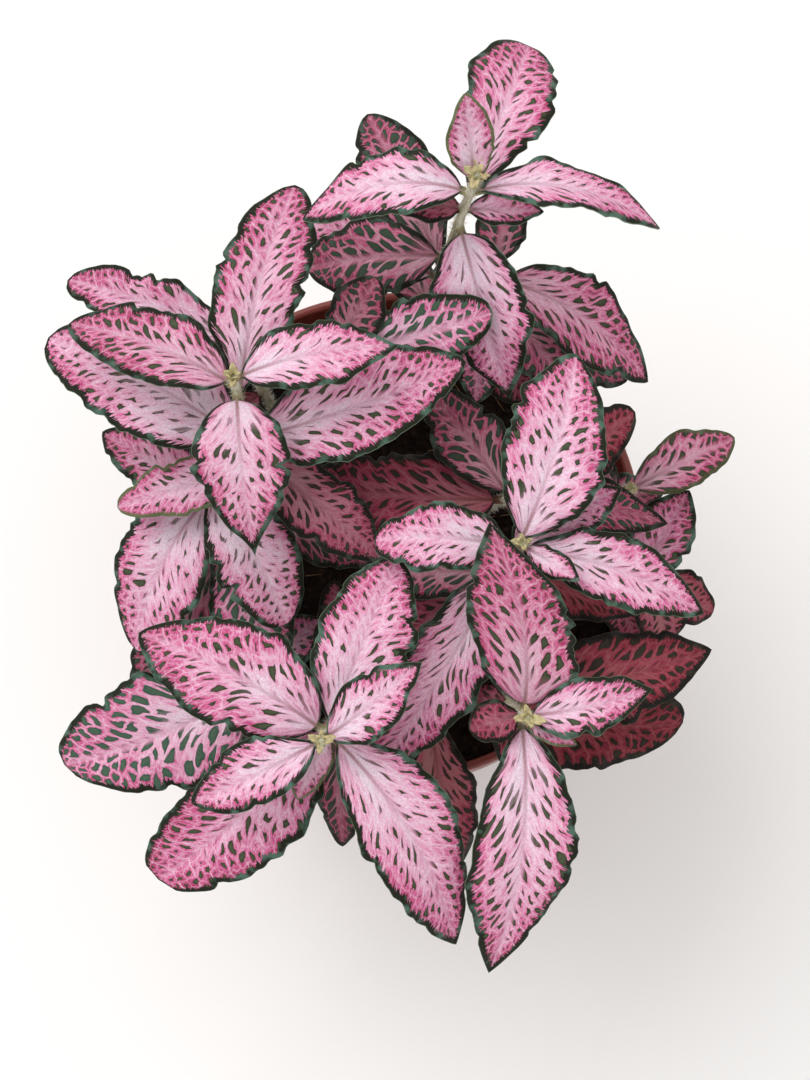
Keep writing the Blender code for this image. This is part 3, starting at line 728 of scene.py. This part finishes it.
def potSkin():
    made, tree, shader = newMaterial("mouldedPolypropylene")
    where = addNode(tree, "TexCoord", {}, "Object")
    # the pigment is a little uneven over about 40 mm
    melt = addNode(tree, "TexNoise", {"Vector": where, "Scale": 25.0, "Detail": 2.0})
    colour = addNode(tree, "ValToRGB", {0: melt})
    setRamp(colour, [(0.3, "#722E26"), (0.7, "#7D372D")])
    # hair scratches from stacking run down the wall, about 0.3 mm wide and 15 mm long
    stretched = addNode(tree, "Mapping", {0: where, 3: (1500, 1500, 40)})
    scratch = addNode(tree, "TexNoise", {"Vector": stretched, "Scale": 1.0, "Detail": 1.0})
    scratch = addNode(tree, "MapRange", {0: scratch, 1: 0.68, 2: 0.76, 3: 0.0, 4: 0.3})
    colour = addNode(tree, "Mix", {0: scratch, 6: colour, 7: linear("#A56A5C")}, 2,
                     data_type="RGBA")
    # dried peat dust, caught in patches of about 10 mm
    dust = addNode(tree, "TexNoise", {"Vector": where, "Scale": 100.0, "Detail": 6.0,
                                      "Roughness": 0.7})
    dust = addNode(tree, "MapRange", {0: dust, 1: 0.55, 2: 0.75, 3: 0.0, 4: 0.35})
    skin = addNode(tree, "Mix", {0: dust, 6: colour, 7: linear("#4A3028")}, 2, data_type="RGBA")
    tree.links.new(skin, shader.inputs["Base Color"])
    gloss = addNode(tree, "MapRange", {0: dust, 1: 0.0, 2: 0.35, 3: 0.38, 4: 0.75})
    tree.links.new(gloss, shader.inputs["Roughness"])
    # the mould's fine spark-eroded grain, drawn 0.5 mm wide so that it shows
    grain = addNode(tree, "TexNoise", {"Vector": where, "Scale": 2000.0, "Detail": 1.0})
    bump = addNode(tree, "Bump", {"Strength": 0.15, "Distance": 0.08 * mm, "Height": grain})
    tree.links.new(bump, shader.inputs["Normal"])
    shader.inputs["IOR"].default_value = 1.49
    return made


def potProfile():
    # from the middle of the floor up the inside, over the lip and down the outside
    form = potForm
    rim = potHigh.x / mm
    height = potHigh.z / mm
    lip = form["lipWidth"] / 2
    foot = height - form["collarDepth"]
    outer = rim - form["collarTaper"]
    wall = outer - form["collarStep"]
    fillet = form["fillet"]
    base, edge, thick = form["baseRadius"], form["baseEdge"], form["wall"]
    turns = [math.pi * step / form["lipSteps"] for step in range(form["lipSteps"] + 1)]
    inside = [(0, form["floor"]), (base - thick - edge, form["floor"]),
              (base - thick, form["floor"] + edge), (wall - thick, foot - thick),
              (outer - thick, foot + thick)]
    roll = [(rim - lip - lip * math.cos(turn), height - lip + lip * math.sin(turn))
            for turn in turns]
    collar = [(rim - inward, height - down) for inward, down in (form["lipFoot"], form["neck"])]
    collar += [(outer, foot + fillet), (outer - fillet, foot), (wall, foot)]
    ring = base - form["footRing"]
    under = [(base, edge), (base - edge, 0), (ring, 0), (ring - edge, form["footRise"]),
             (0, form["footRise"])]
    return inside + roll + collar + under


def makePot():
    form = potForm
    shape = turnProfile(potProfile(), form["sides"])
    pot = addPiece("nursery_pot", shape, [potSkin()], "pot")
    drills = bmesh.new()
    for step in range(form["drainHoles"]):
        turn = Matrix.Rotation(2 * math.pi * step / form["drainHoles"], 4, "Z")
        spot = turn @ Matrix.Translation((form["drainRing"] * mm, 0, 0))
        bmesh.ops.create_cone(drills, cap_ends=True, segments=32, depth=10 * mm, matrix=spot,
                              radius1=form["drainRadius"] * mm, radius2=form["drainRadius"] * mm)
    mesh = bpy.data.meshes.new("drills")
    drills.to_mesh(mesh)
    drills.free()
    drill = bpy.data.objects.new("drills", mesh)
    bpy.context.scene.collection.objects.link(drill)
    cut = pot.modifiers.new("drain", "BOOLEAN")
    cut.object = drill
    bpy.context.view_layer.update()
    evaluated = pot.evaluated_get(bpy.context.evaluated_depsgraph_get())
    cutMesh = bpy.data.meshes.new_from_object(evaluated)
    pot.modifiers.clear()
    pot.data = cutMesh
    bpy.data.objects.remove(drill)
    edges = pot.modifiers.new("crispEdges", "WEIGHTED_NORMAL")
    edges.keep_sharp = True
    print("pot made")


makePot()


# Peat, in mm: dark sphagnum crumbs of 1 to 3 mm on an uneven bed, with a few pale fibres
peatForm = {"rings": 44, "sides": 128, "edgeDepth": 4, "bottomShare": 0.7, "dip": 2,
            "sunk": 0.8, "relief": 1.1, "crumbs": 900, "crumbSize": (0.5, 1.6), "fibres": 60,
            "fibreLength": (4, 10), "fibreEnds": (0.16, 0.08), "fibreTilt": 1.5, "crumbEdge": 2,
            "fibreEdge": 6, "seed": 5}


def peatSkin():
    # moist milled peat: near black, crumbly at 1.4 mm and without gloss
    made, tree, shader = newMaterial("peat")
    where = addNode(tree, "TexCoord", {}, "Object")
    grit = addNode(tree, "TexNoise", {"Vector": where, "Scale": 700.0, "Detail": 5.0,
                                      "Roughness": 0.7})
    colour = addNode(tree, "ValToRGB", {0: grit})
    setRamp(colour, [(0.3, "#0D0805"), (0.55, "#1F150E"), (0.75, "#3E2E20")])
    tree.links.new(colour, shader.inputs["Base Color"])
    bump = addNode(tree, "Bump", {"Strength": 0.8, "Distance": 0.6 * mm, "Height": grit})
    tree.links.new(bump, shader.inputs["Normal"])
    shader.inputs["Roughness"].default_value = 0.95
    shader.inputs["Specular IOR Level"].default_value = 0.2
    return made


def fibreSkin():
    # undecayed moss fibre: dry, dull and paler, with a tint that drifts every 3 mm
    made, tree, shader = newMaterial("peatFibre")
    where = addNode(tree, "TexCoord", {}, "Object")
    tint = addNode(tree, "TexNoise", {"Vector": where, "Scale": 300.0})
    colour = addNode(tree, "ValToRGB", {0: tint})
    setRamp(colour, [(0.3, "#4B3421"), (0.7, "#8A6B48")])
    tree.links.new(colour, shader.inputs["Base Color"])
    shader.inputs["Roughness"].default_value = 0.85
    return made


def bedHeight(x, y):
    # mound in the middle, lower at the wall, with lumps of about 6 mm and of 2 mm
    form = peatForm
    reach = math.hypot(x, y) / (soilHigh.x / mm)
    lumps = noise.noise(Vector((x, y, 0)) / 6) + 0.5 * noise.noise(Vector((x, y, 7)) / 2)
    return soilHigh.z / mm - form["sunk"] - form["dip"] * reach ** 2 + form["relief"] * lumps


def scatter(draw, reach):
    # a random spot, spread evenly over the disc
    far = reach * math.sqrt(draw.random())
    angle = draw.uniform(0, 2 * math.pi)
    return far * math.cos(angle), far * math.sin(angle)


def makePeat():
    form = peatForm
    draw = random.Random(form["seed"])
    top = soilHigh.z / mm
    edge = soilHigh.x / mm
    lowest = soilLow.z / mm
    rings = [(edge * step / form["rings"], top) for step in range(form["rings"] + 1)]
    block = [(edge, top - form["edgeDepth"]), (edge * form["bottomShare"], lowest), (0, lowest)]
    shape = turnProfile(rings + block, form["sides"])
    for vert in shape.verts:
        if vert.co.z > (top - 1) * mm:
            vert.co.z = bedHeight(vert.co.x / mm, vert.co.y / mm) * mm
    for _ in range(form["crumbs"]):
        x, y = scatter(draw, edge - form["crumbEdge"])
        size = draw.uniform(*form["crumbSize"])
        spot = Matrix.Translation(Vector((x, y, bedHeight(x, y) + size * 0.25)) * mm)
        turn = Matrix.Rotation(draw.uniform(0, 3), 4, (draw.random(), draw.random(), 0.5))
        flat = Matrix.Diagonal((1, draw.uniform(0.6, 1), draw.uniform(0.4, 0.8), 1))
        bmesh.ops.create_icosphere(shape, subdivisions=1, radius=size * mm,
                                   matrix=spot @ turn @ flat)
    for _ in range(form["fibres"]):
        x, y = scatter(draw, edge - form["fibreEdge"])
        spot = Matrix.Translation(Vector((x, y, bedHeight(x, y) + 0.8)) * mm)
        turn = Matrix.Rotation(draw.uniform(0, math.pi), 4, "Z")
        turn @= Matrix.Rotation(form["fibreTilt"], 4, "X")
        thick, thin = form["fibreEnds"]
        strand = bmesh.ops.create_cone(shape, cap_ends=True, segments=5, radius1=thick * mm,
                                       radius2=thin * mm, matrix=spot @ turn,
                                       depth=draw.uniform(*form["fibreLength"]) * mm)
        for face in {face for vert in strand["verts"] for face in vert.link_faces}:
            face.material_index = 1
    addPiece("peat_bed", shape, [peatSkin(), fibreSkin()], "soil")
    print("peat made")


makePeat()


# Camera, light and floor. The camera's lens and place are in mm, and its tilt off the vertical
# is in degrees. Each lamp has its place and size in metres and its power in watts.
view = {"lens": 64.4, "place": (3.33, -105.80, 552.67), "pitch": 13}
lights = {"key": ((-0.45, 0.35, 1.0), 0.8, 6.4), "fill": ((0.7, -0.6, 0.9), 0.9, 1.5)}
stage = {"floorHalf": 3, "floor": "#F6F5F3", "sky": "#F7F6F6", "skyStrength": 0.84,
         "aim": (0, 0, 0.12)}


def setStage():
    scene = bpy.context.scene
    camera = bpy.data.objects.new("camera", bpy.data.cameras.new("camera"))
    camera.data.lens = view["lens"]
    camera.location = Vector(view["place"]) * mm
    camera.rotation_euler = (math.radians(view["pitch"]), 0, 0)
    scene.collection.objects.link(camera)
    scene.camera = camera
    scene.view_settings.view_transform = "Standard"

    shape = bmesh.new()
    bmesh.ops.create_grid(shape, x_segments=1, y_segments=1, size=stage["floorHalf"])
    mesh = bpy.data.meshes.new("floor")
    shape.to_mesh(mesh)
    shape.free()
    floor = bpy.data.objects.new("floor", mesh)
    scene.collection.objects.link(floor)
    paper, _, shader = newMaterial("paleFloor")  # matt white board, so no gloss
    shader.inputs["Base Color"].default_value = linear(stage["floor"])
    shader.inputs["Roughness"].default_value = 0.9
    mesh.materials.append(paper)

    world = bpy.data.worlds.new("studio")
    scene.world = world
    world.use_nodes = True
    background = world.node_tree.nodes["Background"]
    background.inputs["Color"].default_value = linear(stage["sky"])
    background.inputs["Strength"].default_value = stage["skyStrength"]
    for name, (spot, size, power) in lights.items():
        lamp = bpy.data.lights.new(name, "AREA")
        lamp.size = size
        lamp.energy = power
        light = bpy.data.objects.new(name, lamp)
        light.location = spot
        aim = Vector(stage["aim"]) - Vector(spot)
        light.rotation_euler = aim.to_track_quat("-Z", "Y").to_euler()
        scene.collection.objects.link(light)
    print("stage set")


setStage()
